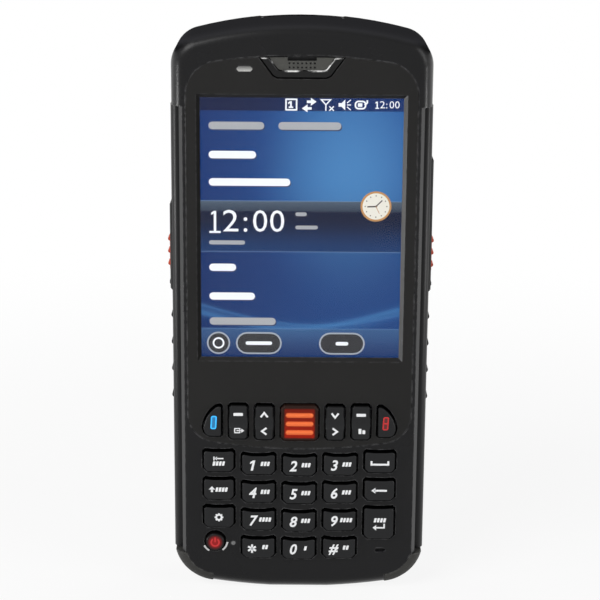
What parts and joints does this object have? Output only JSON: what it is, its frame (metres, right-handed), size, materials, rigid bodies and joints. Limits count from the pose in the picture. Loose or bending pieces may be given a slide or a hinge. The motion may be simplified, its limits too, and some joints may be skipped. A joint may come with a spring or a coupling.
{
  "type": "portable barcode data terminal",
  "caption": "Handheld data terminal: tall display over a numeric keypad, scan keys on front and sides, rubber grips, hinged battery cover with a slide latch.",
  "frame": {"origin": "bottom centre: middle of the overall width and depth, on the dock flat of the bottom end", "axes": "+Z along the body to the scanning end, the display and keys face -Y, +X to the right of someone reading the display"},
  "size_m": [0.072, 0.0282, 0.158],
  "materials": {
    "housing": "fine satin texture, black",
    "bezel": "smooth satin black",
    "rubber": "soft matt black rubber",
    "bumper_rubber": "worn grey-black rubber",
    "key_plastic": "satin black keycap",
    "key_orange": "glowing orange keycap",
    "key_power": "dark red keycap",
    "side_orange": "orange rubber",
    "display": "lit display",
    "glass": "clear touch panel",
    "gloss_black": "piano black",
    "grille": "grey perforated",
    "lens": "light diffuser",
    "chrome": "bright",
    "steel": "plain",
    "board": "green circuit board",
    "magnesium": "cast frame",
    "battery": "dark wrapped cell pack",
    "scan_glass": "dark red window",
    "module": "black module",
    "gasket": "silicone",
    "silicone": "grey silicone"
  },
  "bodies": {
    "terminal": {"battery_pack": "battery", "bezel_plate": "bezel", "camera_glass": "gloss_black", "camera_unit": "module", "corner_bumper_left": "bumper_rubber", "corner_bumper_right": "bumper_rubber", "display_module": "display", "dock_connector": "module", "front_housing": "housing", "hinge_pin": "steel", "housing_gasket": "gasket", "housing_screws": "steel", "inner_frame": "magnesium", "key_membrane": "silicone", "light_lens": "lens", "loudspeaker": "module", "main_board": "board", "power_crescents": "chrome", "rear_housing": "housing", "receiver_grille": "grille", "receiver_sounder": "module", "receiver_trim": "gloss_black", "scan_engine": "module", "scan_window": "scan_glass", "side_grip_left": "rubber", "side_grip_right": "rubber", "status_lens": "lens", "touch_panel": "glass"},
    "cover": {"battery_cover": "housing"},
    "latch": {"battery_latch": "key_plastic"},
    "key_0": {"key_0": "key_plastic"},
    "key_1": {"key_1": "key_plastic"},
    "key_2": {"key_2": "key_plastic"},
    "key_3": {"key_3": "key_plastic"},
    "key_4": {"key_4": "key_plastic"},
    "key_5": {"key_5": "key_plastic"},
    "key_6": {"key_6": "key_plastic"},
    "key_7": {"key_7": "key_plastic"},
    "key_8": {"key_8": "key_plastic"},
    "key_9": {"key_9": "key_plastic"},
    "key_backlight": {"key_backlight": "key_plastic"},
    "key_backspace": {"key_backspace": "key_plastic"},
    "key_enter": {"key_enter": "key_plastic"},
    "key_hash": {"key_hash": "key_plastic"},
    "key_power": {"key_power": "key_power"},
    "key_scan": {"key_scan": "key_orange"},
    "key_shift": {"key_shift": "key_plastic"},
    "key_soft_left": {"key_soft_left": "key_plastic"},
    "key_soft_right": {"key_soft_right": "key_plastic"},
    "key_space": {"key_space": "key_plastic"},
    "key_star": {"key_star": "key_plastic"},
    "key_tab": {"key_tab": "key_plastic"},
    "rocker_inner_left": {"rocker_inner_left": "key_plastic"},
    "rocker_inner_right": {"rocker_inner_right": "key_plastic"},
    "rocker_outer_left": {"rocker_outer_left": "key_plastic"},
    "rocker_outer_right": {"rocker_outer_right": "key_plastic"},
    "side_scan_left": {"side_scan_left": "side_orange"},
    "side_scan_right": {"side_scan_right": "side_orange"},
    "volume_rocker": {"volume_rocker": "rubber"}
  },
  "joints": [
    {"name": "battery_cover_hinge", "type": "hinge", "parent": "terminal", "child": "cover", "pos_m": [0, 0.0112, 0.0987], "axis": [1, 0, 0], "range_deg": [0, 100]},
    {"name": "battery_latch_slide", "type": "slide", "parent": "cover", "child": "latch", "axis": [0, 0, -1], "range_m": [0, 0.002]},
    {"name": "key_power_press", "type": "slide", "parent": "terminal", "child": "key_power", "axis": [0, 1, 0], "range_m": [0, 0.0006], "stiffness_N_per_m": 600},
    {"name": "key_scan_press", "type": "slide", "parent": "terminal", "child": "key_scan", "axis": [0, 1, 0], "range_m": [0, 0.0006], "stiffness_N_per_m": 600},
    {"name": "key_enter_press", "type": "slide", "parent": "terminal", "child": "key_enter", "axis": [0, 1, 0], "range_m": [0, 0.0006], "stiffness_N_per_m": 600},
    {"name": "key_soft_left_press", "type": "slide", "parent": "terminal", "child": "key_soft_left", "axis": [0, 1, 0], "range_m": [0, 0.0006], "stiffness_N_per_m": 600},
    {"name": "key_soft_right_press", "type": "slide", "parent": "terminal", "child": "key_soft_right", "axis": [0, 1, 0], "range_m": [0, 0.0006], "stiffness_N_per_m": 600},
    {"name": "rocker_inner_left_tilt", "type": "hinge", "parent": "terminal", "child": "rocker_inner_left", "pos_m": [-0.00965, -0.0099, 0.04947], "axis": [1, 0, 0], "range_deg": [-3.5, 3.5], "stiffness_Nm_per_rad": 0.16},
    {"name": "rocker_inner_right_tilt", "type": "hinge", "parent": "terminal", "child": "rocker_inner_right", "pos_m": [0.00965, -0.0099, 0.04947], "axis": [1, 0, 0], "range_deg": [-3.5, 3.5], "stiffness_Nm_per_rad": 0.16},
    {"name": "rocker_outer_left_tilt", "type": "hinge", "parent": "terminal", "child": "rocker_outer_left", "pos_m": [-0.01674, -0.0099, 0.0496], "axis": [1, 0, 0], "range_deg": [-3.5, 3.5], "stiffness_Nm_per_rad": 0.16},
    {"name": "rocker_outer_right_tilt", "type": "hinge", "parent": "terminal", "child": "rocker_outer_right", "pos_m": [0.01674, -0.0099, 0.0496], "axis": [1, 0, 0], "range_deg": [-3.5, 3.5], "stiffness_Nm_per_rad": 0.16},
    {"name": "side_scan_left_press", "type": "slide", "parent": "terminal", "child": "side_scan_left", "axis": [1, 0, 0], "range_m": [0, 0.0005], "stiffness_N_per_m": 800},
    {"name": "side_scan_right_press", "type": "slide", "parent": "terminal", "child": "side_scan_right", "axis": [-1, 0, 0], "range_m": [0, 0.0005], "stiffness_N_per_m": 800},
    {"name": "volume_rocker_tilt", "type": "hinge", "parent": "terminal", "child": "volume_rocker", "pos_m": [0.0305, -0.0019, 0.1128], "axis": [0, 1, 0], "range_deg": [-2.5, 2.5], "stiffness_Nm_per_rad": 0.2},
    {"name": "key_0_press", "type": "slide", "parent": "terminal", "child": "key_0", "axis": [0, 1, 0], "range_m": [0, 0.0006], "stiffness_N_per_m": 600},
    {"name": "key_1_press", "type": "slide", "parent": "terminal", "child": "key_1", "axis": [0, 1, 0], "range_m": [0, 0.0006], "stiffness_N_per_m": 600},
    {"name": "key_2_press", "type": "slide", "parent": "terminal", "child": "key_2", "axis": [0, 1, 0], "range_m": [0, 0.0006], "stiffness_N_per_m": 600},
    {"name": "key_3_press", "type": "slide", "parent": "terminal", "child": "key_3", "axis": [0, 1, 0], "range_m": [0, 0.0006], "stiffness_N_per_m": 600},
    {"name": "key_4_press", "type": "slide", "parent": "terminal", "child": "key_4", "axis": [0, 1, 0], "range_m": [0, 0.0006], "stiffness_N_per_m": 600},
    {"name": "key_5_press", "type": "slide", "parent": "terminal", "child": "key_5", "axis": [0, 1, 0], "range_m": [0, 0.0006], "stiffness_N_per_m": 600},
    {"name": "key_6_press", "type": "slide", "parent": "terminal", "child": "key_6", "axis": [0, 1, 0], "range_m": [0, 0.0006], "stiffness_N_per_m": 600},
    {"name": "key_7_press", "type": "slide", "parent": "terminal", "child": "key_7", "axis": [0, 1, 0], "range_m": [0, 0.0006], "stiffness_N_per_m": 600},
    {"name": "key_8_press", "type": "slide", "parent": "terminal", "child": "key_8", "axis": [0, 1, 0], "range_m": [0, 0.0006], "stiffness_N_per_m": 600},
    {"name": "key_9_press", "type": "slide", "parent": "terminal", "child": "key_9", "axis": [0, 1, 0], "range_m": [0, 0.0006], "stiffness_N_per_m": 600},
    {"name": "key_backlight_press", "type": "slide", "parent": "terminal", "child": "key_backlight", "axis": [0, 1, 0], "range_m": [0, 0.0006], "stiffness_N_per_m": 600},
    {"name": "key_backspace_press", "type": "slide", "parent": "terminal", "child": "key_backspace", "axis": [0, 1, 0], "range_m": [0, 0.0006], "stiffness_N_per_m": 600},
    {"name": "key_hash_press", "type": "slide", "parent": "terminal", "child": "key_hash", "axis": [0, 1, 0], "range_m": [0, 0.0006], "stiffness_N_per_m": 600},
    {"name": "key_shift_press", "type": "slide", "parent": "terminal", "child": "key_shift", "axis": [0, 1, 0], "range_m": [0, 0.0006], "stiffness_N_per_m": 600},
    {"name": "key_space_press", "type": "slide", "parent": "terminal", "child": "key_space", "axis": [0, 1, 0], "range_m": [0, 0.0006], "stiffness_N_per_m": 600},
    {"name": "key_star_press", "type": "slide", "parent": "terminal", "child": "key_star", "axis": [0, 1, 0], "range_m": [0, 0.0006], "stiffness_N_per_m": 600},
    {"name": "key_tab_press", "type": "slide", "parent": "terminal", "child": "key_tab", "axis": [0, 1, 0], "range_m": [0, 0.0006], "stiffness_N_per_m": 600}
  ]
}
